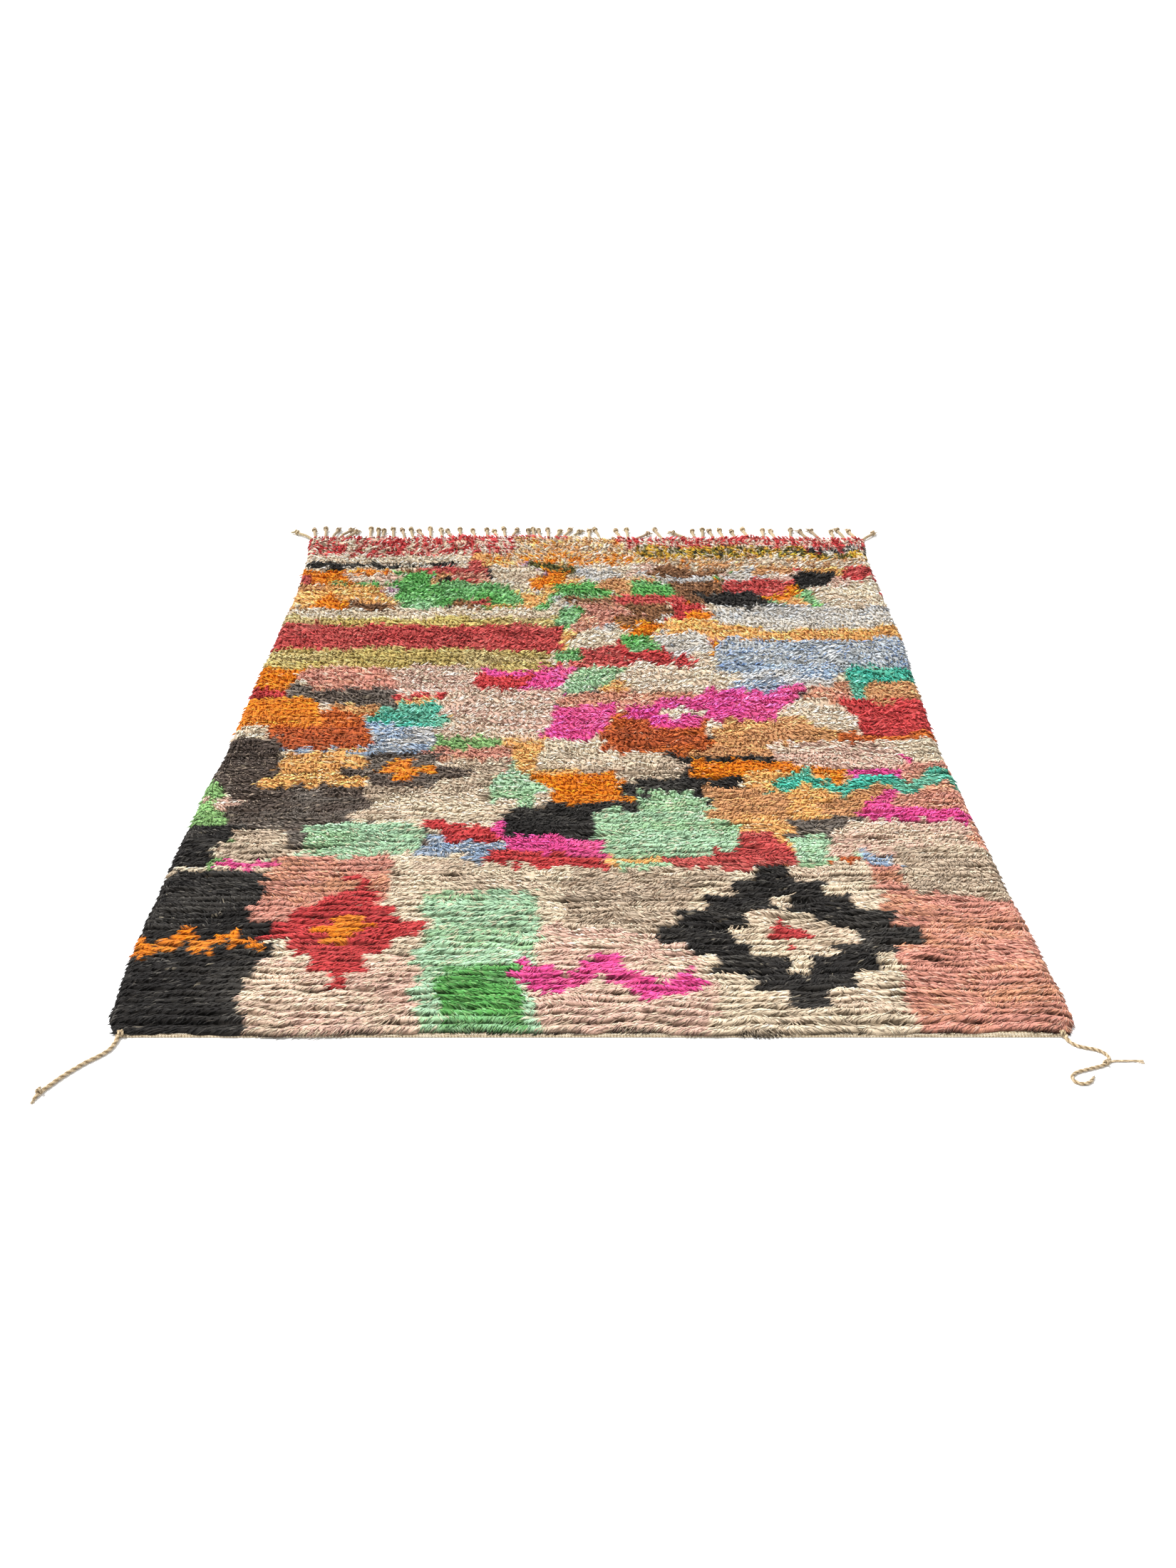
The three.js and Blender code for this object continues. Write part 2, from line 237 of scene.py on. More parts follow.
def design():
    """The whole design, from its ground to its last motif."""
    far = patchwork(-1, 1, 0.57, 0.16, (0.07, 0.24), (0.03, 0.06), SMALL_WOOLS, 21)
    gap = patchwork(-0.09, 0.36, 0.97, 0.55, (0.06, 0.16), (0.04, 0.07), SMALL_WOOLS, 22)
    middle = patchwork(-1, 1, 1.95, 0.955, (0.12, 0.36), (0.060, 0.135), MEDIUM_WOOLS, 23)
    stripes = [
        stripe(-1, -0.36, 0.283, 0.167, "cream"),
        stripe(-1, -0.42, 0.270, 0.233, "black"),
        stripe(-1, -0.09, 0.625, 0.560, "cream"),
        stripe(-1, -0.09, 0.675, 0.622, "olive"),
        stripe(-1, -0.07, 0.842, 0.675, "raspberry"),
        stripe(-1, -0.10, 0.958, 0.842, "olive"),
        stripe(0.36, 1, 0.69, 0.555, "silver"),
        stripe(0.33, 1, 0.767, 0.69, "apricot"),
        stripe(0.35, 1, 0.958, 0.767, "grey blue"),
    ]
    near = [
        block(-1, 1, -1.3, -0.70, "cream"),
        block(-1, -0.64, -1.3, -0.72, "black"),
        block(-0.66, -0.30, -1.3, -1.02, "pale pink"),
        block(-0.70, -0.42, -0.90, -0.66, "rose"),
        block(-0.34, -0.12, -1.3, -0.80, "mint"),
        block(-0.30, -0.14, -1.3, -1.05, "green"),
        block(-0.12, 0.22, -1.3, -0.92, "pale pink"),
        block(-0.06, 0.30, -0.94, -0.70, "taupe"),
        block(0.22, 0.62, -1.3, -0.74, "cream"),
        block(0.60, 1, -1.3, -0.70, "rose"),
        block(0.66, 1, -0.82, -0.60, "taupe"),
    ]
    motifs = [
        lozenge(-0.50, -0.93, 0.150, 0.190, "red"),
        lozenge(-0.50, -0.93, 0.055, 0.075, "orange", 2),
        lozenge(0.40, -0.94, 0.270, 0.260, "black"),
        lozenge(0.40, -0.94, 0.135, 0.130, "cream"),
        lozenge(0.40, -0.94, 0.045, 0.045, "red", 2),
        zigzag(-0.16, 0.20, -1.10, 0.035, 0.040, 0.18, "magenta"),
        zigzag(-0.98, -0.66, -0.98, 0.020, 0.030, 0.12, "orange"),
        lozenge(-0.44, -0.28, 0.150, 0.110, "charcoal"),
        lozenge(-0.44, -0.28, 0.070, 0.055, "orange", 2),
        lozenge(0.22, 0.02, 0.140, 0.100, "magenta"),
        lozenge(0.22, 0.02, 0.060, 0.045, "cream", 2),
        zigzag(0.42, 0.90, -0.34, 0.030, 0.035, 0.16, "teal"),
    ]
    return far + gap + middle + stripes + near + motifs


DESIGN = design()

# Bands of mixed yarns: from which x to which, between which distances from the far end, and of which wools
SPECKLES = [
    (-1, -0.05, 0.0, 0.172, {"red": 5, "cream": 3, "pale pink": 2, "raspberry": 1}),
    (-1, -0.30, 0.112, 0.128, {"red": 3, "moss": 3, "cream": 2}),
    (-0.22, 0.36, 0.018, 0.235, {"cream": 4, "tan": 2.5, "apricot": 2, "taupe": 1, "orange": 0.7}),
    (-0.30, 0.20, 0.165, 0.225, {"orange": 4, "apricot": 3, "cream": 3}),
    (0.10, 1, 0.0, 0.100, {"red": 5, "pale pink": 2, "cream": 3, "raspberry": 2}),
    (0.16, 1, 0.095, 0.185, {"gold": 4, "moss": 3, "cream": 2, "black": 1}),
    (0.66, 1, 0.085, 0.128, {"black": 4, "silver": 3, "red": 1}),
    (0.30, 1, 0.180, 0.262, {"cream": 4, "tan": 4, "taupe": 2}),
    (-1, 1, -0.1, 0.024, {"red": 8, "raspberry": 2}),
]
YARN_WIDE = 0.0052


def holds(patch, px, py, level_y):
    """Whether a patch holds each place. A lozenge's steps keep to the level y, so that they stay even."""
    (cx, cy), (hx, hy) = patch["at"], patch["half"]
    if patch["kind"] == "block":
        leaning = px - cx - patch.get("slant", 0) * (py - cy)
        inside = (np.abs(leaning) < hx) & (np.abs(py - cy) < hy)
    elif patch["kind"] == "lozenge":
        rise = np.floor(np.abs(level_y - cy) / NEAR_PITCH / patch["step"] + 0.5) * NEAR_PITCH * patch["step"]
        inside = np.abs(px - cx) / hx + rise / hy < 1
    else:
        fold = np.abs(((px - cx) / patch["period"]) % 1 * 2 - 1) * 2 - 1
        inside = (np.abs(px - cx) < hx) & (np.abs(py - cy - patch["swing"] * fold) < hy)
    if "clip" in patch:
        x0, x1, y0, y1 = patch["clip"]
        inside &= (px > x0) & (px < x1) & (py > y0) & (py < y1)
    return inside


def choose_wools(x, y, row, yarn_x):
    """The wool's number for knots at x, y in each row; yarn_x counts in the bands of mixed yarns."""
    jag = 0.012 * drift(x / 0.05, row * 7.31, 31) + 0.005 * drift(x / 0.016, row * 3.17, 32)
    step = 0.022 * drift(x / 0.130, np.floor((row + 2 * drift(x / 0.3, 0, 36)) / 3) * 5.7, 33)
    px, py = x + jag + step, y + NEAR_PITCH * np.round(1.3 * drift(x / 0.190, y / 0.160, 34))
    py = py + 0.45 * NEAR_PITCH * chance(np.round(x / 0.016), row, 37)
    wool = np.full(x.shape, NAMES.index("cream"))
    for patch in DESIGN:
        wool[holds(patch, px, py, y)] = NAMES.index(patch["wool"])
    away = FAR - py
    luck = chance(np.round(yarn_x / YARN_WIDE), row, 35) * 0.5 + 0.5
    for x0, x1, start, end, yarns in SPECKLES:
        inside = (px > x0) & (px < x1) & (away > start) & (away < end)
        odds = np.cumsum(list(yarns.values()))
        picks = np.array([NAMES.index(name) for name in yarns])
        wool[inside] = picks[np.searchsorted(odds / odds[-1], luck[inside] * 0.9999)]
    return wool


# Some wools were dyed unevenly: the second colour that each drifts towards, and how far
DYE_DRIFTS = {
    "cream": ("pale pink", 0.30), "pale pink": ("cream", 0.60), "rose": ("tan", 0.55),
    "taupe": ("cream", 0.45), "mint": ("leaf", 0.45), "green": ("mint", 0.60),
    "steel blue": ("silver", 0.80), "grey blue": ("steel blue", 0.80), "black": ("grey", 0.12),
    "tan": ("apricot", 0.45), "orange": ("apricot", 0.20), "charcoal": ("grey", 0.40),
    "olive": ("cream", 0.28), "silver": ("steel blue", 0.45), "rust": ("orange", 0.30),
    "teal": ("mint", 0.35), "apricot": ("tan", 0.35), "raspberry": ("rose", 0.30),
    "red": ("raspberry", 0.30), "magenta": ("rose", 0.18), "brown": ("charcoal", 0.40),
}

# Stray strands of another wool: which, how many and how plainly
FLECKS = {
    "black": ("grey", 0.10, 0.30), "charcoal": ("taupe", 0.16, 0.40), "grey blue": ("blue", 0.26, 0.80),
    "steel blue": ("silver", 0.30, 0.80), "silver": ("steel blue", 0.16, 0.60), "mint": ("cream", 0.24, 0.60),
    "green": ("leaf", 0.30, 0.60), "pale pink": ("cream", 0.28, 0.80), "rose": ("pale pink", 0.20, 0.55),
    "taupe": ("brown", 0.18, 0.45), "tan": ("brown", 0.18, 0.45), "cream": ("taupe", 0.14, 0.50),
    "olive": ("moss", 0.12, 0.35), "red": ("raspberry", 0.25, 0.60), "raspberry": ("red", 0.20, 0.60),
    "rust": ("brown", 0.16, 0.40), "apricot": ("cream", 0.16, 0.50), "brown": ("tan", 0.16, 0.40),
    "teal": ("mint", 0.16, 0.40), "orange": ("rust", 0.14, 0.30),
}
STRAY_SHARE = 0.35
STRAY_LUCK = 0.988


def wool_colour(wool, x, row, luck):
    """Linear colours of strands, with uneven dye, row by row shade and each strand's own luck."""
    colour = WOOL_COLOURS[wool]
    patchy = drift(x / 0.16, row / 2.2, 41) * 0.9 + drift(x / 0.06, row / 1.1, 42) * 0.6 + luck * 0.35
    for name, (other, reach) in DYE_DRIFTS.items():
        mine = wool == NAMES.index(name)
        share = np.clip(patchy[mine] + 0.15, 0, 1)[:, None] * reach
        colour[mine] += (WOOL_COLOURS[NAMES.index(other)] - colour[mine]) * share
    shade = 1 + 0.12 * drift(x / 0.22, row / 1.3, 43) + 0.10 * drift(x / 0.05, row / 0.9, 48)
    shade = shade + 0.07 * chance(row, 0, 44) + 0.20 * luck
    colour = np.clip(colour * np.maximum(shade, 0.5)[:, None], 0.002, 1)
    fine_x = np.round(x * 1e4)
    pick = chance(fine_x, row, 46) * 0.5 + 0.5 + 0.12 * drift(x / 0.07, row / 1.5, 47)
    for name, (other, most, reach) in FLECKS.items():
        mine = (wool == NAMES.index(name)) & (pick < most) & (luck != 0)
        colour[mine] += (WOOL_COLOURS[NAMES.index(other)] - colour[mine]) * reach
    stray = chance(fine_x, row, 45) > STRAY_LUCK
    colour[stray] += (STRAY_COLOUR - colour[stray]) * STRAY_SHARE
    return colour


# Meshes from grids of point numbers
def grid_triangles(index):
    """Two triangles for each square of a grid."""
    a, b = index[:-1, :-1].ravel(), index[:-1, 1:].ravel()
    c, d = index[1:, 1:].ravel(), index[1:, :-1].ravel()
    return np.r_[np.c_[a, b, c], np.c_[a, c, d]]


def grid_rim(index):
    """The point numbers once round a grid."""
    return np.r_[index[0], index[1:, -1], index[-1, -2::-1], index[-2:0:-1, 0]]


def wall(rim, low):
    """Triangles of a wall from a rim down to a lower copy of it."""
    rim_next, low_next = np.roll(rim, -1), np.roll(low, -1)
    return np.r_[np.c_[rim, low, low_next], np.c_[rim, low_next, rim_next]]


def join(parts):
    """Several sets of points, triangles, colours and maps as one."""
    points, triangles, others, start = [], [], [], 0
    for part in parts:
        points.append(part[0])
        triangles.append(part[1] + start)
        others.append(part[2:])
        start += len(part[0])
    return [np.concatenate(points), np.concatenate(triangles)] + [np.concatenate(o) for o in zip(*others)]


def new_piece(name, points, triangles, material, colours=None, detail_map=None, bake_map=None):
    """A mesh piece from arrays, smooth, with its colours and maps, riding on the rug."""
    mesh = bpy.data.meshes.new(name)
    mesh.vertices.add(len(points))
    mesh.vertices.foreach_set("co", np.asarray(points, np.float32).ravel())
    mesh.loops.add(3 * len(triangles))
    mesh.loops.foreach_set("vertex_index", np.asarray(triangles, np.int32).ravel())
    mesh.polygons.add(len(triangles))
    mesh.polygons.foreach_set("loop_start", np.arange(0, 3 * len(triangles), 3, dtype=np.int32))
    mesh.update(calc_edges=True)
    mesh.shade_smooth()
    if colours is not None:
        layer = mesh.color_attributes.new("Wool", "FLOAT_COLOR", "POINT")
        layer.data.foreach_set("color", np.c_[colours, np.ones(len(colours))].astype(np.float32).ravel())
    for label, places in (("Detail", detail_map), ("OFBake", bake_map)):
        if places is not None:
            mesh.uv_layers.new(name=label).data.foreach_set("uv", np.asarray(places, np.float32).ravel())
    piece = bpy.data.objects.new(name, mesh)
    bpy.context.scene.collection.objects.link(piece)
    mesh.materials.append(material)
    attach(piece, "root")
    return piece


# Each row of pile is a rounded ridge of crowded roots under a coat of strands. Across it, from the crease in
# front: the place, the heights where it is combed flat like rope and brushed up, and likewise the painted
# shade, dark in the creases and light on the crests.
RIDGE_ALONG, *RIDGE = np.array([
    (0.00, 0.0100, 0.0070, 0.06, 0.08),
    (0.10, 0.0168, 0.0125, 0.34, 0.42),
    (0.28, 0.0214, 0.0172, 0.86, 0.92),
    (0.50, 0.0226, 0.0195, 1.08, 1.20),
    (0.72, 0.0206, 0.0186, 0.92, 1.18),
    (0.90, 0.0160, 0.0140, 0.40, 0.62),
    (1.00, 0.0100, 0.0070, 0.06, 0.08),
]).T
HEIGHTS, SHADES = RIDGE[:2], RIDGE[2:]

# The bed of roots: how far inside the outline it ends, its columns, its painted shade and the width of its
# rim
BED_IN = 0.006
BED_COLUMNS = 140
BED_SHADE = (0.90, 0.76)
RIM_WIDE = 0.022

# A strand from its buried root to its tip, with its lift over the ridge, combed flat and brushed up, and its
# painted shade, which darkens a brushed strand's root and paints light on its tip
STRAND = [
    {"place": 0.00, "lifts": (-0.0006, -0.0030), "girth": 0.80, "shades": (0.80, 0.40)},
    {"place": 0.55, "lifts": (0.0012, 0.0052), "girth": 1.00, "shades": (1.00, 1.46)},
    {"place": 1.00, "lifts": (0.0002, 0.0115), "girth": 0.00, "shades": (0.88, 1.80)},
]
BEND_LIFTS = STRAND[-2]["lifts"]

# The painted light and shade of a strand's three corners, the outer lit one first, combed flat and brushed up
CORNER_SHADES = [(1.24, 1.26), (0.60, 0.80), (0.60, 0.80)]

# Strands: the area for each, lengths combed and brushed, half width and half thickness
STRAND_AREA = 0.000058
STRAND_LENGTHS = (0.0240, 0.0200)
STRAND_LIMITS = (0.006, 0.034)
STRAND_WIDE = 0.0020
STRAND_THICK = 0.0016
STRAND_IN = 0.008

# Brushed strands gather in tufts of this width, and those at the rug's sides fan out within the edge zone
TUFT_WIDE = 0.014
EDGE_ZONE = 0.026
TIP_HOLD = 0.6

# The ground cloth, a thin closed sheet under the pile, and the highest that a strand may stand
GROUND_THICK = 0.0036
GROUND_IN = 0.013
PILE_TOP = 0.0375

# What little light is left deep in the pile is warm
DEEP_TINT = np.array([1.0, 0.86, 0.70])
BRIGHTEST = 0.93


def shaded(colour, shade):
    """A wool with painted light and shade: under 1 the shade darkens and warms it, as deep in the pile."""
    shade = np.asarray(shade)[:, None]
    return np.minimum(colour * shade * DEEP_TINT ** np.clip(1 - shade, 0, 1), BRIGHTEST)


def shagginess(x, row):
    """How the pile lies: from near 0, combed flat like rope, to 1, brushed up."""
    y = row_y(row + 0.5)
    return np.clip((y + 0.95) / 1.05 + 0.30 * drift(x / 0.14, row / 5.0, 50), 0.05, 1)


def combing(x, row, shaggy):
    """Which way the strands lie, as an angle from straight towards the near end."""
    lean = drift((x + 0.06 * chance(row, 3, 58)) / 0.210, row / 3.6, 51)
    lean = np.sign(lean) * np.clip(4.5 * np.abs(lean), 0.60, 1)
    return np.radians(64 - 30 * shaggy) * lean + np.radians(7 + 14 * shaggy) * drift(x / 0.023, row * 5.1, 52)


def knot_line(row, along):
    """The y that picks a knot's wool: its row's middle, or one of two lines of knots in a deep row."""
    double = np.clip(row_depth(row) / NEAR_PITCH - 1, 0, 1)
    return row_y(row + 0.5 + 0.25 * double * np.sign(along - 0.5))


def rim_depth(x, y):
    """0 inside the rug, rising to 1 at its side edges."""
    inside = np.minimum(x + half_width(LEFT, y), half_width(RIGHT, y) - x) - BED_IN
    return np.clip(1 - inside / RIM_WIDE, 0, 1)


def row_of(t):
    """The row that holds a place t rows from the near end."""
    return np.clip(np.floor(t), 0, ROWS - 1)


def ridge(x, t, shaggy, profiles):
    """The HEIGHTS or SHADES at x, t rows from the near end, flatter in some stretches than in others."""
    along = np.clip(t - row_of(t), 0, 1)
    value = blend([np.interp(along, RIDGE_ALONG, profile) for profile in profiles], shaggy)
    relief = 0.86 - 0.14 * shaggy + (0.50 + 0.35 * shaggy) * drift(x / 0.048, t / 0.9, 57)
    crest = profiles[0].max()
    return crest + (value - crest) * np.clip(relief, 0.25, 1.15)


def ridge_height(x, t, shaggy):
    lumps = 1 + 0.13 * drift(x / 0.050, row_of(t) / 1.6, 54)
    front = np.clip(0.42 + 0.30 * t, 0.25, 1)
    return ridge(x, t, shaggy, HEIGHTS) * lumps * (1 - 0.62 * rim_depth(x, row_y(t)) ** 2) * front


# Painted shade of the ridges: dark in the creases, light on the crests and darker near the rug's sides, with
# some random tone from tuft to tuft
def ridge_shade(x, t, shaggy):
    tufts = 0.10 * drift(x / 0.015, t * 1.6, 59) + 0.08 * drift(x / 0.040, t * 0.7, 60)
    return np.maximum(ridge(x, t, shaggy, SHADES) * (1 - 0.25 * rim_depth(x, row_y(t)) ** 2) + tufts, 0.05)


def strand_roots(row):
    """Places and habits of the strands in one row. Row -1 is the short skirt over the near hem."""
    rng = np.random.default_rng(SEED + row)
    depth, middle = float(row_depth(row)), float(row_y(row + 0.5))
    spacing = STRAND_AREA / depth
    left, right = side_edges(middle, STRAND_IN)
    inner = np.linspace(left, right, int((right - left) / spacing))
    rims = np.arange(0, EDGE_ZONE, 1.2 * spacing)
    x = np.r_[inner, left + rims, right - rims]
    count = len(x)
    x = x + rng.uniform(-0.0020, 0.0020, count)
    along = rng.uniform(0.10, 0.98, count)
    edge = np.clip(1 - np.minimum(x - left, right - x) / EDGE_ZONE, 0, 1)
    shaggy = shagginess(x, row)

    place = x / TUFT_WIDE + 0.37 * row + 0.60 * drift(x / 0.027, row * 1.7, 66)
    tuft, half_row = np.floor(place), 2 * row + (along > 0.5)
    offset = tuft + 0.5 - place
    along = along + chance(tuft, half_row, 64) * 0.10 * shaggy

    yaw = combing(x, row, shaggy) + rng.normal(0, 1, count) * np.radians(6 + 10 * shaggy)
    yaw += chance(tuft, half_row, 61) * np.radians(8 + 30 * shaggy)
    yaw = yaw * (1 - 0.8 * edge) + np.where(x < 0, -1.0, 1.0) * np.radians(66) * edge

    uneven = 1 + 0.18 * rng.normal(size=count) + 0.22 * shaggy * chance(tuft, half_row, 65)
    length = blend(STRAND_LENGTHS, shaggy) * uneven
    length *= 1 + 0.15 * drift(x / 0.045, row / 1.2, 53) - 0.35 * edge
    length = np.minimum(length, 0.85 * depth / np.maximum(np.cos(yaw), 0.1))

    tip = rng.normal(size=count) * (0.0006 + 0.0012 * shaggy) + chance(tuft, half_row, 62) * 0.0030 * shaggy
    tip = tip - 0.0040 * edge
    tip += (rng.uniform(size=count) > 0.96) * rng.uniform(0.001, 0.003, count)
    if row < 0:
        along, yaw, length = 0.90 + 0.34 * rng.uniform(size=count), yaw * 0.75, length * 0.70
    return dict(
        row=np.full(count, row), x=x, along=along, depth=np.full(count, depth), yaw=yaw,
        length=np.clip(length, *STRAND_LIMITS), shaggy=shaggy * (1 - 0.8 * edge), tip=tip,
        girth=1 + 0.20 * rng.normal(size=count),
        luck=np.clip(rng.normal(size=count), -2, 2),
        curl=rng.normal(0, 0.0012, count),
        offset=offset,
        gather=offset * TUFT_WIDE * 0.75 * shaggy,
        knot_x=x + offset * TUFT_WIDE * np.clip(2 * shaggy - 0.4, 0, 1),
        tuft_shade=chance(tuft, half_row, 63),
    )


def strand_lines(own):
    """Where each strand is at its root, its bend and its tip, and its painted shade there."""
    shaggy, across = own.shaggy, own.across
    middle = row_place(own.x, own.row, own.along)
    lines, shades = [], []
    for station in STRAND:
        place = station["place"]
        ahead = (place - 0.5) * own.length
        bend = own.curl if 0 < place < 1 else 0
        x = own.x + ahead * np.sin(own.yaw) + bend * across[:, 0] + own.gather * place
        y = middle - ahead * np.cos(own.yaw) + bend * across[:, 1]
        t = own.row + own.along - ahead * np.cos(own.yaw) / own.depth
        height = ridge_height(x, t, shaggy)
        lift = blend(station["lifts"], shaggy)
        if place == 1:
            lift += own.tip
            height += (lines[-1][:, 2] - height) * TIP_HOLD * shaggy
            lift -= TIP_HOLD * shaggy * blend(BEND_LIFTS, shaggy)
        lines.append(np.c_[x, y, height + lift])
        # Painted shade from the ridge under the strand, lifted towards a brushed strand's tip, deeper at the
        # roots on a tuft's edge, times the station's own painted light and shade
        shade = ridge_shade(x, t, shaggy)
        shade += (1 - shade) * 0.55 * shaggy * place
        shade *= 1 - 1.1 * shaggy * np.abs(own.offset) * (1 - place)
        shades.append(shade * blend(station["shades"], shaggy))
    return lines, shades


def strand_skins(own, colour):
    """Points and colours of each strand: rings of three round its root and its bend, and its tip."""
    lines, shades = strand_lines(own)
    points, colours = [], []
    for k, station in enumerate(STRAND[:-1]):
        ahead = lines[k + 1] - lines[max(k - 1, 0)]
        ahead /= np.linalg.norm(ahead, axis=1)[:, None]
        under = np.cross(own.across, ahead)
        wide = STRAND_WIDE * station["girth"] * own.girth
        thick = STRAND_THICK * station["girth"] * own.girth
        for corner, corner_shades in enumerate(CORNER_SHADES):
            angle = 0.25 * own.luck - math.pi / 2 + corner * 2 * math.pi / 3
            points.append(lines[k] + own.across * (wide * np.cos(angle))[:, None]
                          + under * (thick * np.sin(angle))[:, None])
            # Painted light on the outer corner and painted shade on the two others
            colours.append(shaded(colour, shades[k] * blend(corner_shades, own.shaggy)))
    points = np.stack(points + [lines[-1]], 1).reshape(-1, 3)
    points[:, 2] = np.clip(points[:, 2], GROUND_THICK, PILE_TOP)
    return points, np.stack(colours + [shaded(colour, shades[-1])], 1).reshape(-1, 3)


def strand_faces(luck):
    """Triangles of each strand's seven points, and their Detail map from root at 0 to tip at 1."""
    faces, detail = [], []
    for corner in range(3):
        after = (corner + 1) % 3
        u0, u1 = corner / 3, (corner + 1) / 3
        faces += [(corner, after, 3 + after), (corner, 3 + after, 3 + corner), (3 + corner, 3 + after, 6)]
        detail += [((u0, 0), (u1, 0), (u1, 0.5)), ((u0, 0), (u1, 0.5), (u0, 0.5))]
        detail += [((u0, 0.5), (u1, 0.5), ((u0 + u1) / 2, 1))]
    number = np.arange(len(luck))
    triangles = (np.array(faces)[None] + 7 * number[:, None, None]).reshape(-1, 3)
    shift = np.c_[np.round(luck * 17), number % 29][:, None]
    return triangles, (np.array(detail).reshape(-1, 2)[None] + shift).reshape(-1, 2)


def strand_meshes(rows):
    """Points, triangles, colours and maps of the strands in some rows."""
    drawn = [strand_roots(row) for row in rows]
    own = SimpleNamespace(**{key: np.concatenate([values[key] for values in drawn]) for key in drawn[0]})
    own.across = np.c_[np.cos(own.yaw), np.sin(own.yaw), np.zeros(len(own.yaw))]
    wool = choose_wools(own.knot_x, knot_line(own.row, own.along), own.row, own.x)
    colour = wool_colour(wool, own.x, own.row, own.luck)
    colour = colour * (1 + (0.12 + 0.16 * own.shaggy) * own.tuft_shade)[:, None]
    points, colours = strand_skins(own, colour)
    triangles, detail = strand_faces(own.luck)
    return points, triangles, colours, detail, points[triangles.ravel()][:, :2]


def bed_mesh(first, last):
    """The crowded roots of some rows: a closed slab of ridges, its Detail map combed as the strands are."""
    lines = [(row, along) for row in range(first, last) for along in RIDGE_ALONG[:-1]] + [(last - 1, 1.0)]
    rows, along = (np.array(values, float)[:, None] for values in zip(*lines))
    left, right = side_edges(row_y(rows + along), BED_IN)
    x = left + (right - left) * np.linspace(0, 1, BED_COLUMNS)[None]
    y = row_place(x, rows, along)
    rows, along = np.broadcast_to(rows, x.shape), np.broadcast_to(along, x.shape)
    shaggy = shagginess(x, rows)
    t = rows + np.minimum(along, 0.9999)
    top = np.stack([x, y, ridge_height(x, t, shaggy)], 2).reshape(-1, 3)
    index = np.arange(x.size).reshape(x.shape)
    rim = grid_rim(index)
    foot = top[rim] * [1, 1, 0] + UP * GROUND_THICK
    low = x.size + np.arange(len(rim))
    middle = np.full(len(rim), x.size + len(rim))
    sole = np.c_[middle, np.roll(low, -1), low]
    points = np.r_[top, foot, foot.mean(axis=0)[None]]
    triangles = np.r_[grid_triangles(index), wall(rim, low), sole]
    wool = choose_wools(x.ravel(), knot_line(rows, along).ravel(), rows.ravel(), x.ravel())
    colour = wool_colour(wool, x.ravel(), rows.ravel(), np.zeros(x.size))
    # Painted shade of the ridges, deeper on the bed than on the strands over it
    colour = shaded(colour, (ridge_shade(x, t, shaggy) * blend(BED_SHADE, shaggy)).ravel())
    colours = np.r_[colour, colour[rim], colour[:1]]
    slant = np.tan(combing(x, rows, shaggy))
    across = (x - (0.5 - along) * row_depth(rows) * slant) / 0.024
    combed = np.stack([across, row_y(rows + along) / 0.021], 2).reshape(-1, 2)
    combed = np.r_[combed, combed[rim] + [0, 0.4], combed[:1]]
    return points, triangles, colours, combed[triangles.ravel()], points[triangles.ravel()][:, :2]


# Materials
def new_material(name, settings):
    """A material with its shader's plain values; its node tree and shader come with it."""
    material = bpy.data.materials.new(name)
    material.use_nodes = True
    shader = material.node_tree.nodes["Principled BSDF"]
    for socket, value in settings.items():
        shader.inputs[socket].default_value = value
    return material, material.node_tree, shader


def add(tree, kind, inputs=(), **settings):
    """The outputs of a new node of one kind. Each input is a value, or the socket that feeds it."""
    node = tree.nodes.new("ShaderNode" + kind)
    for key, value in settings.items():
        setattr(node, key, value)
    for key, value in dict(inputs).items():
        if isinstance(value, bpy.types.NodeSocket):
            tree.links.new(value, node.inputs[key])
        else:
            node.inputs[key].default_value = value
    return node.outputs


def dress(tree, shader, colour, factor, height, bump_strength, bump_depth):
    """Gives a shader its colour times a factor, and the bump of a height."""
    tinted = add(tree, "VectorMath", {0: colour, "Scale": factor}, operation="SCALE")
    tree.links.new(tinted[0], shader.inputs["Base Color"])
    bump = add(tree, "Bump", {"Height": height, "Strength": bump_strength, "Distance": bump_depth})
    tree.links.new(bump[0], shader.inputs["Normal"])


def wool_material(name, sheen, fibre_bump, twist):
    """Wool that takes its colour from the piece and its fibres from the Detail map."""
    material, tree, shader = new_material(name, {
        "Roughness": 0.92, "Specular IOR Level": 0.15, "Sheen Weight": sheen, "Sheen Roughness": 0.45,
    })
    colour = add(tree, "VertexColor", layer_name="Wool")["Color"]
    place = add(tree, "UVMap", uv_map="Detail")["UV"]
    along = add(tree, "SeparateXYZ", {"Vector": place})
    slant = add(tree, "Math", {0: along["Y"], 1: twist, 2: along["X"]}, operation="MULTIPLY_ADD")
    fibre_place = add(tree, "CombineXYZ", {"X": slant[0], "Y": along["Y"]})
    stretch = add(tree, "VectorMath", {0: fibre_place[0], 1: (9.0, 2.6, 1.0)}, operation="MULTIPLY")
    fibres = add(tree, "TexNoise", {
        "Vector": stretch[0], "Scale": 1.0, "Detail": 3.0, "Roughness": 0.6,
    }, noise_dimensions="2D")["Fac"]
    grade = add(tree, "MapRange", {
        "Value": fibres, "From Min": 0.30, "From Max": 0.70, "To Min": 0.62, "To Max": 1.30,
    })
    dress(tree, shader, colour, grade[0], fibres, fibre_bump, 0.002)
    return material


def threads(tree, place, scale, distortion, axis):
    """Wavy stripes across one axis, for the threads of a weave."""
    return add(tree, "TexWave", {
        "Vector": place, "Scale": scale, "Distortion": distortion, "Detail": 1.0, "Detail Scale": 3.0,
    }, bands_direction=axis)["Fac"]


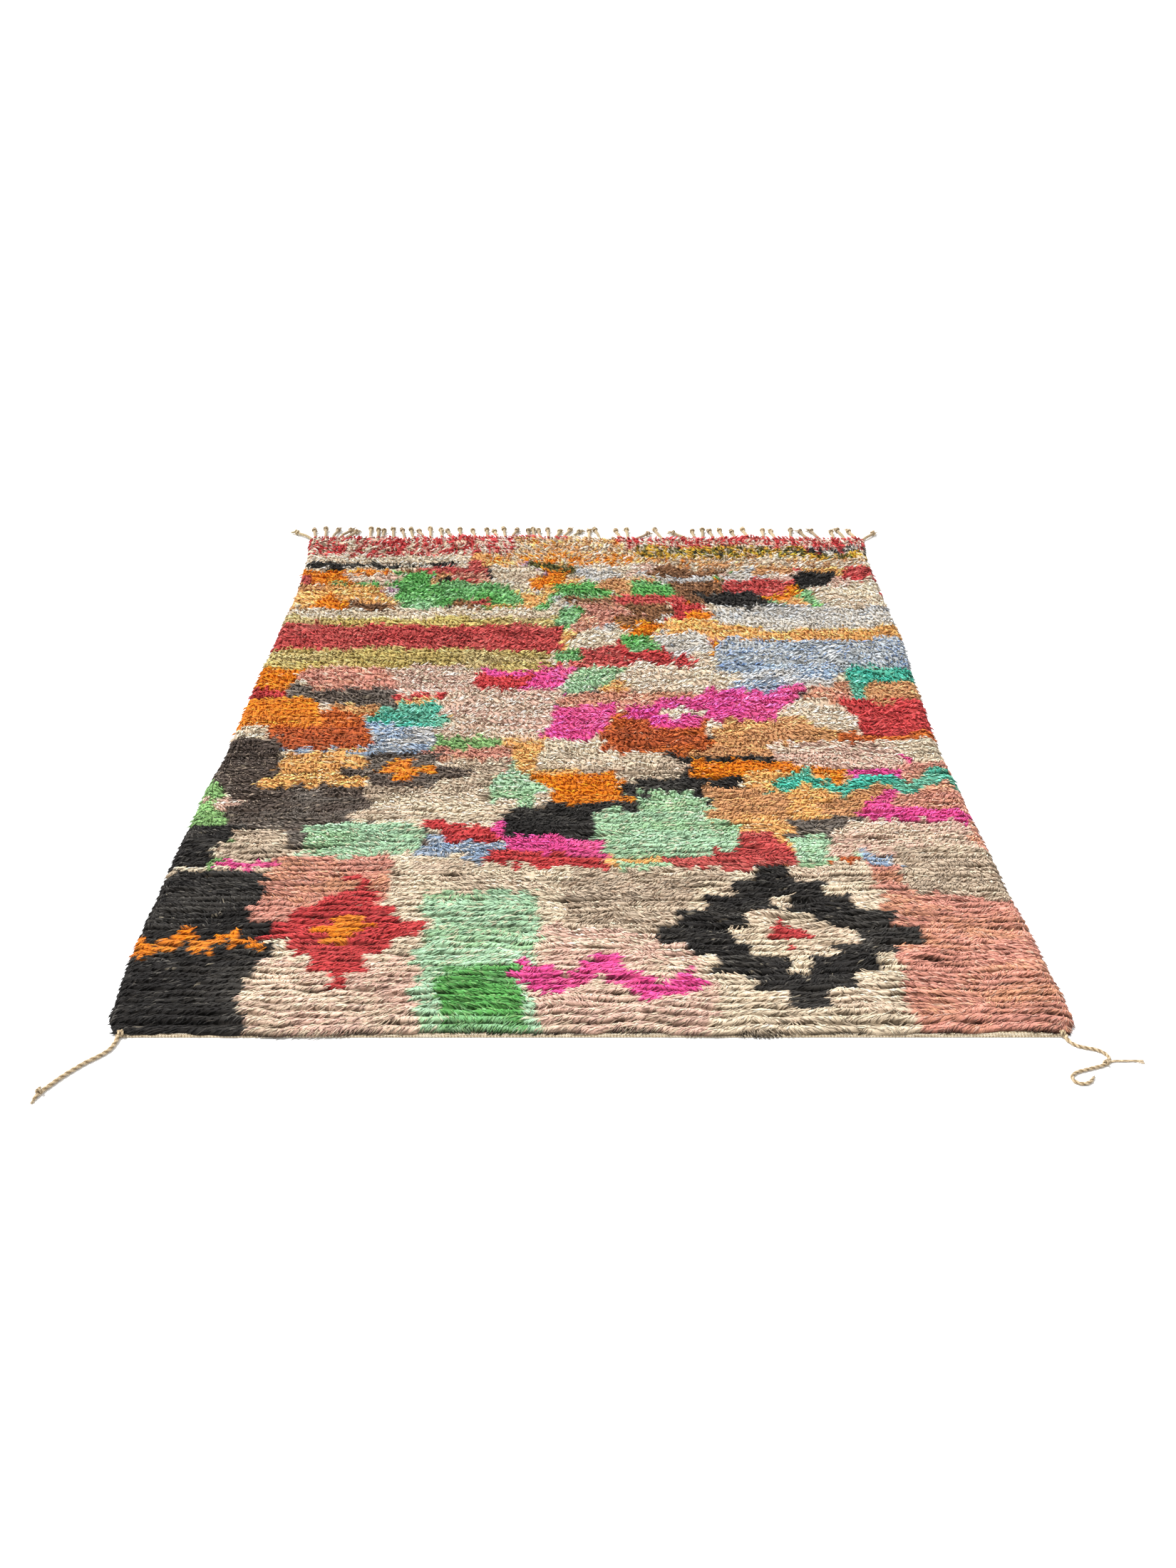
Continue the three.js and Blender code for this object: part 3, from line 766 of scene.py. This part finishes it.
def ground_material():
    """The undyed woven ground, seen at the hem and underneath."""
    material, tree, shader = new_material("ground_weave", {"Roughness": 0.9, "Sheen Weight": 0.15})
    place = add(tree, "TexCoord")["Object"]
    warps = threads(tree, place, 52.0, 1.2, "X")
    wefts = threads(tree, place, 84.0, 1.0, "Y")
    weave = add(tree, "Math", {0: warps, 1: wefts}, operation="MULTIPLY")[0]
    specks = add(tree, "TexNoise", {"Vector": place, "Scale": 260.0, "Detail": 2.0})
    colour = add(tree, "ValToRGB", {"Fac": weave})["Color"]
    dark, pale = colour.node.color_ramp.elements
    dark.color = (*linear("9c8667"), 1)
    pale.color = (*linear("e6d6b8"), 1)
    pale.position = 0.55
    fleck = add(tree, "MapRange", {
        "Value": specks["Fac"], "From Min": 0.36, "From Max": 0.5, "To Min": 0.55, "To Max": 1.0,
    })
    dress(tree, shader, colour, fleck[0], weave, 0.6, 0.0012)
    return material


PILE_WOOL = wool_material("pile_wool", 0.08, 0.55, 0.7)
WARP_YARN = wool_material("warp_yarn", 0.20, 0.50, 0.4)
GROUND = ground_material()
MAP_MARGIN = 0.002


def make_pile():
    """The pile in bands of rows, each a bed of roots with its strands, and a map as seen from above."""
    pieces = []
    for band in range(BANDS):
        first, last = ROWS * band // BANDS, ROWS * (band + 1) // BANDS
        skirt = [-1] if first == 0 else []
        parts = [bed_mesh(first, last), strand_meshes(skirt + list(range(first, last)))]
        points, triangles, colours, detail, bake = join(parts)
        low, high = bake.min(axis=0), bake.max(axis=0)
        bake = (bake - low) / (high - low) * (1 - 2 * MAP_MARGIN) + MAP_MARGIN
        pieces.append(new_piece(f"pile_band_{band + 1}", points, triangles, PILE_WOOL, colours, detail, bake))
    return pieces


def make_ground():
    """The woven ground as a thin closed sheet."""
    y = np.linspace(NEAR, FAR, 126)[:, None]
    left, right = side_edges(y, GROUND_IN)
    x = left + (right - left) * np.linspace(0, 1, 19)[None]
    top = np.stack([x, np.broadcast_to(y, x.shape), np.full(x.shape, GROUND_THICK)], 2).reshape(-1, 3)
    index = np.arange(x.size).reshape(x.shape)
    face, rim = grid_triangles(index), grid_rim(index)
    triangles = np.r_[face, face[:, [0, 2, 1]] + x.size, wall(rim, rim + x.size)]
    return new_piece("ground_cloth", np.r_[top, top * [1, 1, 0]], triangles, GROUND)


# Ropes: two plies twisted along a path, with painted shade in their grooves
GROOVE_SHADE_TINT = np.array([0.90, 0.76, 0.60])
SPAN_STEPS = 24


def between(t, t0, t1, p0, p1):
    """The place at t on the straight way from p0 at t0 to p1 at t1."""
    return (t1 - t) / (t1 - t0) * p0 + (t - t0) / (t1 - t0) * p1


def smooth_route(points, count):
    """A centripetal curve through route points, sampled at even lengths, and its length."""
    p = np.array(points, float)
    p = np.r_[[2 * p[0] - p[1]], p, [2 * p[-1] - p[-2]]]
    samples = []
    for k in range(1, len(p) - 2):
        p0, p1, p2, p3 = p[k - 1:k + 3]
        t1 = math.sqrt(np.linalg.norm(p1 - p0))
        t2 = t1 + math.sqrt(np.linalg.norm(p2 - p1))
        t3 = t2 + math.sqrt(np.linalg.norm(p3 - p2))
        t = np.linspace(t1, t2, SPAN_STEPS, endpoint=False)[:, None]
        a1, a2, a3 = between(t, 0, t1, p0, p1), between(t, t1, t2, p1, p2), between(t, t2, t3, p2, p3)
        b1, b2 = between(t, 0, t2, a1, a2), between(t, t1, t3, a2, a3)
        samples.append(between(t, t1, t2, b1, b2))
    samples = np.concatenate(samples + [p[-2:-1]])
    along = np.r_[0, np.cumsum(np.linalg.norm(np.diff(samples, axis=0), axis=1))]
    even = np.linspace(0, along[-1], count)
    return np.stack([np.interp(even, along, samples[:, k]) for k in range(3)], 1), along[-1]


def rope(path, radius, turns, colour, sides, groove, seed):
    """A closed rope of two twisted plies along a path."""
    count = len(path)
    ahead = np.gradient(path, axis=0)
    ahead /= np.linalg.norm(ahead, axis=1)[:, None]
    side = np.cross(UP, ahead[0])
    if np.linalg.norm(side) < 0.1:
        side = np.array([1.0, 0, 0])
    across = []
    for k in range(count):
        side = unit(side - ahead[k] * np.dot(side, ahead[k]))
        across.append(side)
    across = np.array(across)
    over = np.cross(ahead, across)

    share = np.linspace(0, 1, count)[:, None]
    angle = (np.arange(sides) * 2 * math.pi / sides)[None]
    ply = np.abs(np.cos(angle))
    reach = np.broadcast_to(radius, count)[:, None] * (1 - groove + groove * ply)
    turn = angle + 2 * math.pi * turns * share
    points = (path[:, None] + across[:, None] * (reach * np.cos(turn))[..., None]
              + over[:, None] * (reach * np.sin(turn))[..., None])
    uneven = chance(np.arange(count)[:, None] // 3, np.arange(sides)[None], 60 + seed)
    # Painted shade, darker and browner in the grooves between the plies, with some uneven tone along the rope
    shade = 0.34 + 0.72 * ply + 0.12 * uneven
    colours = colour * shade[..., None] * GROOVE_SHADE_TINT ** (1 - ply[..., None])

    index = np.arange(count * sides).reshape(count, sides)
    around = np.c_[index, index[:, 0]]
    ends = count * sides
    first = np.c_[np.full(sides, ends), around[0, 1:], around[0, :-1]]
    last = np.c_[np.full(sides, ends + 1), around[-1, :-1], around[-1, 1:]]
    triangles = np.r_[grid_triangles(around), first, last]
    points = np.r_[points.reshape(-1, 3), path[:1], path[-1:]]
    colours = np.r_[colours.reshape(-1, 3), colours[0, :1], colours[-1, :1]]

    fibre_lengths = max(1, round(count / 5))
    grid = np.stack(np.broadcast_arrays(np.arange(sides + 1) / sides, share * fibre_lengths), 2)
    quad = np.stack([grid[:-1, :-1], grid[:-1, 1:], grid[1:, 1:], grid[1:, :-1]], 2).reshape(-1, 4, 2)
    caps = np.tile([[0.5, 0.5], [0.4, 0.6], [0.6, 0.6]], (2 * sides, 1))
    detail = np.r_[quad[:, [0, 1, 2]].reshape(-1, 2), quad[:, [0, 2, 3]].reshape(-1, 2), caps]
    return points, triangles, colours, detail


def wisp(start, heading, length, radius, colour, bend, droop):
    """A tapered tuft of loose fibres: three rings of three points, then its tip."""
    t = np.array([0, 0.35, 0.7, 1.0])
    girths = radius * np.array([0.9, 1.0, 0.7])
    across = unit(np.cross(UP, heading))
    path = start + np.outer(t * length, heading) + np.outer(t * t * bend, across)
    path -= np.outer(t * t * droop, UP)
    path[:, 2] = np.maximum(path[:, 2], 0.0006)
    angles = [corner * 2 * math.pi / 3 for corner in range(3)]
    points = np.array([
        place + girth * (across * math.cos(angle) + UP * math.sin(angle))
        for place, girth in zip(path, girths) for angle in angles
    ] + [path[-1]])
    points[:, 2] = np.maximum(points[:, 2], 0.0002)
    triangles = [(0, 2, 1)]
    for low in (0, 3):
        for corner in range(3):
            here, after = low + corner, low + (corner + 1) % 3
            triangles += [(here, after, after + 3), (here, after + 3, here + 3)]
    triangles += [(6, 7, 9), (7, 8, 9), (8, 6, 9)]
    # Painted shade: darker at the root and lighter towards the tip
    shade = np.array([0.75] * 3 + [0.95] * 3 + [1.05] * 3 + [1.1])
    detail = np.tile([[0.1, 0.1], [0.4, 0.1], [0.3, 0.5]], (len(triangles), 1))
    return points, np.array(triangles), colour * shade[:, None], detail


def knot(centre, ahead, radius, colour, seed):
    """A tight wrap of one and a third turns round a rope of some radius."""
    side = unit(np.cross(UP, ahead))
    over = np.cross(ahead, side)
    t = np.linspace(0, 1, 22)
    angle = 2 * math.pi * (1.3 * t + 0.1 * seed)
    wide = 1.02 * radius
    path = (centre + np.outer(np.cos(angle) * wide, side) + np.outer(np.sin(angle) * wide, over)
            + np.outer((t - 0.5) * 1.9 * radius, ahead))
    return rope(path, radius * 0.78, 2.0, colour, 8, 0.22, seed)


def yarn_piece(name, parts):
    """A piece of warp yarn made of several ropes and wisps."""
    points, triangles, colours, detail = join(parts)
    return new_piece(name, points, triangles, WARP_YARN, colours, detail)


# The fringe as in the part, a row for each clump: first root, step between cords, each cord's lean
FRINGE = [
    (-0.874, 0.012, [-46, -14]),
    (-0.833, 0.000, [-2]),
    (-0.812, 0.021, [12, 22, 32]),
    (-0.690, 0.022, [-6, 2]),
    (-0.652, 0.038, [2, -10]),
    (-0.580, 0.030, [-8, -14]),
    (-0.517, 0.020, [-16, -4]),
    (-0.458, 0.030, [-12, -14, -10]),
    (-0.355, 0.039, [-6, -3]),
    (-0.280, 0.020, [-18, -2, 10]),
    (-0.186, 0.020, [2, -4]),
    (-0.142, 0.020, [-14, 0, 12, 24, 34]),
    (0.008, 0.034, [-3, -8]),
    (0.113, 0.018, [-18, 2, 48]),
    (0.244, 0.000, [-20]),
    (0.330, 0.019, [-42, -10, 8]),
    (0.407, 0.033, [-8, -12]),
    (0.479, 0.043, [-8, -15]),
    (0.562, 0.042, [8, -8]),
    (0.653, 0.000, [1]),
    (0.709, 0.039, [-15, -20]),
    (0.788, 0.038, [4, -10]),
    (0.866, 0.012, [-20, 44]),
]
FRINGE_LENGTHS = [0.096, 0.088, 0.104, 0.092, 0.100, 0.084, 0.108]
FRINGE_BENDS = [8, -6, 10, 4, -8]
FRINGE_RADIUS = 0.0052
FRINGE_TURNS = 4.2
FRINGE_WISPS = 8
KNOT_ALONG = 0.73
KNOT_LIFT = 1.85
ROOT_DEPTH = 0.003


def fringe_cord(number, root, lean, rng):
    """One cord of the fringe: a rope that lifts a little on its way, a knot and a brush of wisps."""
    length = FRINGE_LENGTHS[number % len(FRINGE_LENGTHS)]
    bend = math.radians(FRINGE_BENDS[number % len(FRINGE_BENDS)])
    heading = math.radians(90 - lean)
    share = np.linspace(0, KNOT_ALONG, 26)
    bearing = heading + bend * share * 0.5
    lift = 0.0045 * np.sin(math.pi * share / KNOT_ALONG) ** 2 * rng.uniform(0, 1)
    ease = np.clip((share / KNOT_ALONG - 0.55) / 0.45, 0, 1) ** 2
    path = np.stack([
        root + share * length * np.cos(bearing),
        LENGTH / 2 - ROOT_DEPTH + share * length * np.sin(bearing),
        FRINGE_RADIUS * 0.98 + lift + (KNOT_LIFT * FRINGE_RADIUS - FRINGE_RADIUS) * ease,
    ], 1)
    dye = WARP_COLOUR * (1 + 0.12 * rng.normal())
    colour = np.clip(dye * np.array([1, 1 + 0.015 * rng.normal(), 1 + 0.03 * rng.normal()]), 0.02, 0.9)
    parts = [rope(path, FRINGE_RADIUS, FRINGE_TURNS, colour, 10, 0.34, number)]
    ahead = unit(path[-1] - path[-3]) * [1, 1, 0]
    parts.append(knot(path[-1] + ahead * 0.002, ahead, FRINGE_RADIUS, colour, number))
    for _ in range(FRINGE_WISPS):
        swing = heading + bend * 0.9 + rng.normal(0, 0.28)
        direction = np.array([math.cos(swing), math.sin(swing), rng.uniform(-0.25, 0.1)])
        start = path[-1] + ahead * 0.006 + UP * rng.uniform(-0.003, 0.002)
        parts.append(wisp(start, direction, length * rng.uniform(0.20, 0.29), rng.uniform(0.0014, 0.0023),
                          colour * rng.uniform(0.9, 1.15), rng.normal(0, 0.003), 0.004))
    return parts


def make_fringe():
    """All cords of the far fringe."""
    rng = np.random.default_rng(SEED + 1)
    parts, number = [], 0
    for root, step, leans in FRINGE:
        for k, lean in enumerate(leans):
            parts += fringe_cord(number, root + k * step, lean, rng)
            number += 1
    return yarn_piece("fringe_cords", parts)


EDGE_SIDES = 8
EDGE_STEP = 0.0022


def edge_line(name, ys, heights, radius, colour, other, inset, turn_length):
    """A twined edge: two wefts of two colours that turn round each other, pair by pair of warps."""
    parts = []
    for k, (start_y, height) in enumerate(zip(ys, heights)):
        left, right = side_edges(start_y, inset)
        x = np.linspace(left, right, int((right - left) / EDGE_STEP))
        y, z = start_y + 0.0008 * drift(x / 0.03, k, 71), height + 0.0004 * drift(x / 0.02, k, 72)
        turns = (right - left) / turn_length * (1 if k % 2 else -1)
        points, triangles, colours, detail = rope(np.c_[x, y, z], radius, turns, colour, EDGE_SIDES, 0.30, k)
        stitch = drift(x / 0.012, k * 3.3, 73)[:, None]
        tint = colour + (other - colour) * np.clip(stitch * 1.4, 0, 1)
        rings = colours[:-2].reshape(len(x), EDGE_SIDES, 3) / colour * tint[:, None]
        parts.append((points, triangles, np.r_[rings.reshape(-1, 3), colours[-2:]], detail))
    return yarn_piece(name, parts)


# Corner cords: the part's routes, seen from above
LEFT_ROUTE = [
    (-0.884, -1.2503), (-0.884, -1.262), (-0.886, -1.275), (-0.890, -1.288), (-0.899, -1.301),
    (-0.911, -1.313), (-0.925, -1.326), (-0.938, -1.341), (-0.950, -1.356), (-0.961, -1.371),
    (-0.971, -1.387), (-0.980, -1.401), (-0.985, -1.410), (-0.988, -1.418), (-0.990, -1.426),
]
RIGHT_ROUTE = [
    (0.878, -1.2503), (0.878, -1.257), (0.883, -1.268), (0.893, -1.278), (0.908, -1.284), (0.921, -1.288),
    (0.932, -1.294), (0.940, -1.304), (0.942, -1.316), (0.936, -1.327), (0.923, -1.335), (0.906, -1.341),
    (0.889, -1.347), (0.873, -1.353), (0.861, -1.364), (0.862, -1.378), (0.875, -1.385), (0.889, -1.380),
    (0.899, -1.367),
]
TAIL_ROUTE = [(0.936, -1.325), (0.948, -1.321), (0.964, -1.320), (0.984, -1.320), (1.004, -1.323)]
CORD_STEPS = 120
CORD_SIDES = 12
CORD_WISPS = 7
TAIL_STEPS = 30
TAIL_FIBRES = 6


def make_tail(colour):
    """The loose fibres that leave the right cord at its knot."""
    line, _ = smooth_route([(x, y, 0.0025) for x, y in TAIL_ROUTE], TAIL_STEPS)
    share = np.linspace(0, 1, TAIL_STEPS)
    fibres = []
    for k in range(TAIL_FIBRES):
        sway = 0.0050 * drift(np.linspace(0, 2, TAIL_STEPS), k * 2.7, 81) * share
        z = 0.0020 + 0.0010 * abs(math.sin(k)) * np.linspace(1, 0.2, TAIL_STEPS)
        path = np.c_[line[:, 0], line[:, 1] + sway + 0.0008 * math.cos(k), z]
        fibres.append(rope(path, np.linspace(0.0017, 0.0008, TAIL_STEPS), 2.0, colour * 1.45, 4, 0.1, k))
    return fibres


def make_cord(name, node, route, diameter, turns, swell, knot_at, ending, tail=False):
    """A free corner cord with its knots and frayed end."""
    radius = diameter / 2
    path, length = smooth_route([(x, y, radius) for x, y in route], CORD_STEPS)
    share = np.linspace(0, 1, CORD_STEPS)
    girth = radius * (1 + swell * np.exp(-(share / 0.05) ** 2))
    girth = girth * (1 - 0.25 * np.clip((share - 0.96) / 0.04, 0, 1))
    path[:, 2] = girth * 0.99
    colour = WARP_COLOUR * 1.02
    piece = yarn_piece(name, [rope(path, girth, turns, colour, CORD_SIDES, 0.30, 5)])

    rng = np.random.default_rng(SEED + len(route))
    at = int(knot_at * (CORD_STEPS - 1))
    ahead = unit(path[min(at + 2, CORD_STEPS - 1)] - path[at - 2])
    centre = np.array([path[at, 0], path[at, 1], KNOT_LIFT * radius])
    wrap = path[0] + [-0.005 * np.sign(path[0, 0]), 0.0035, 0.0030]
    parts = [
        knot(centre, ahead, radius, colour, 3),
        knot(wrap, np.array([1.0, 0, 0]), radius * 1.05, colour * 1.1, 2),
    ]
    out = path[-1] - path[-4]
    for _ in range(CORD_WISPS):
        swing = math.atan2(out[1], out[0]) + rng.normal(0, 0.25)
        direction = np.array([math.cos(swing), math.sin(swing), rng.uniform(-0.1, 0.1)])
        start = path[-1] + UP * rng.uniform(-0.001, 0.001)
        parts.append(wisp(start, direction, ending * rng.uniform(0.7, 1.1), 0.0013,
                          colour * rng.uniform(0.9, 1.2), rng.normal(0, 0.002), 0.002))
    if tail:
        parts += make_tail(colour)
    ends = yarn_piece(name + "_ends", parts)
    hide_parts(node)


# Camera: where it stands, its angles in degrees and its lens in millimetres
CAMERA_AT = (-0.036, -3.641, 1.922)
CAMERA_DOWN = 29.944
CAMERA_TURN = -0.519
CAMERA_ROLL = 0.316
CAMERA_LENS = 37.39
CAMERA_REACH = 500


def make_camera():
    camera = bpy.data.objects.new("camera", bpy.data.cameras.new("camera"))
    bpy.context.scene.collection.objects.link(camera)
    camera.data.lens = CAMERA_LENS
    camera.data.clip_end = CAMERA_REACH
    facing = Euler((math.radians(90 - CAMERA_DOWN), 0, math.radians(CAMERA_TURN))).to_matrix()
    facing = facing @ Matrix.Rotation(math.radians(CAMERA_ROLL), 3, "Z")
    camera.matrix_world = Matrix.Translation(CAMERA_AT) @ facing.to_4x4()
    bpy.context.scene.camera = camera


# Studio: a pale floor, an even white sky and one wide soft lamp
FLOOR_REACH = 80.0
FLOOR_LOW = -0.0004
SKY_STRENGTH = 0.80
LAMP_TOWARD = (-0.45, 0.16, 0.88)
LAMP_STRENGTH = 4.3
LAMP_ANGLE = 9


def make_studio():
    material, _, _ = new_material("floor", {"Base Color": (0.93, 0.93, 0.93, 1), "Roughness": 0.8})
    mesh = bpy.data.meshes.new("floor")
    corners = [(x * FLOOR_REACH, y * FLOOR_REACH, FLOOR_LOW) for x, y in ((-1, -1), (1, -1), (1, 1), (-1, 1))]
    mesh.from_pydata(corners, [], [(0, 1, 2, 3)])
    mesh.materials.append(material)
    floor = bpy.data.objects.new("floor", mesh)
    bpy.context.scene.collection.objects.link(floor)
    world = bpy.data.worlds.new("studio")
    bpy.context.scene.world = world
    world.use_nodes = True
    sky = world.node_tree.nodes["Background"]
    sky.inputs["Color"].default_value = (1, 1, 1, 1)
    sky.inputs["Strength"].default_value = SKY_STRENGTH
    lamp = bpy.data.objects.new("key", bpy.data.lights.new("key", "SUN"))
    lamp.data.energy = LAMP_STRENGTH
    lamp.data.angle = math.radians(LAMP_ANGLE)
    lamp.matrix_world = Vector(LAMP_TOWARD).to_track_quat("Z", "Y").to_matrix().to_4x4()
    bpy.context.scene.collection.objects.link(lamp)
    bpy.context.scene.view_settings.view_transform = "Standard"


make_camera()
make_cord("left_cord", "cord_near_left", LEFT_ROUTE, diameter=0.008, turns=8, swell=0.25,
          knot_at=0.915, ending=0.010)
make_cord("right_cord", "cord_near_right", RIGHT_ROUTE, diameter=0.007, turns=11, swell=0.45,
          knot_at=0.455, ending=0.008, tail=True)
make_studio()
ground = make_ground()
pile = make_pile()
fringe = make_fringe()
hem = edge_line("near_hem", ys=(NEAR + 0.0018, NEAR + 0.0050), heights=(0.0023, 0.0036), radius=0.0018,
                colour=linear("fff4e0"), other=linear("7d6a50"), inset=GROUND_IN, turn_length=0.007)
far_edge = edge_line("far_edge", ys=(LENGTH / 2 - 0.005, LENGTH / 2 - 0.002), heights=(0.0054, 0.0031),
                     radius=0.0026, colour=linear("b92f3a"), other=linear("e0b8a8"), inset=0.011,
                     turn_length=0.008)
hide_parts("rug_body")
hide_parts("far_fringe")
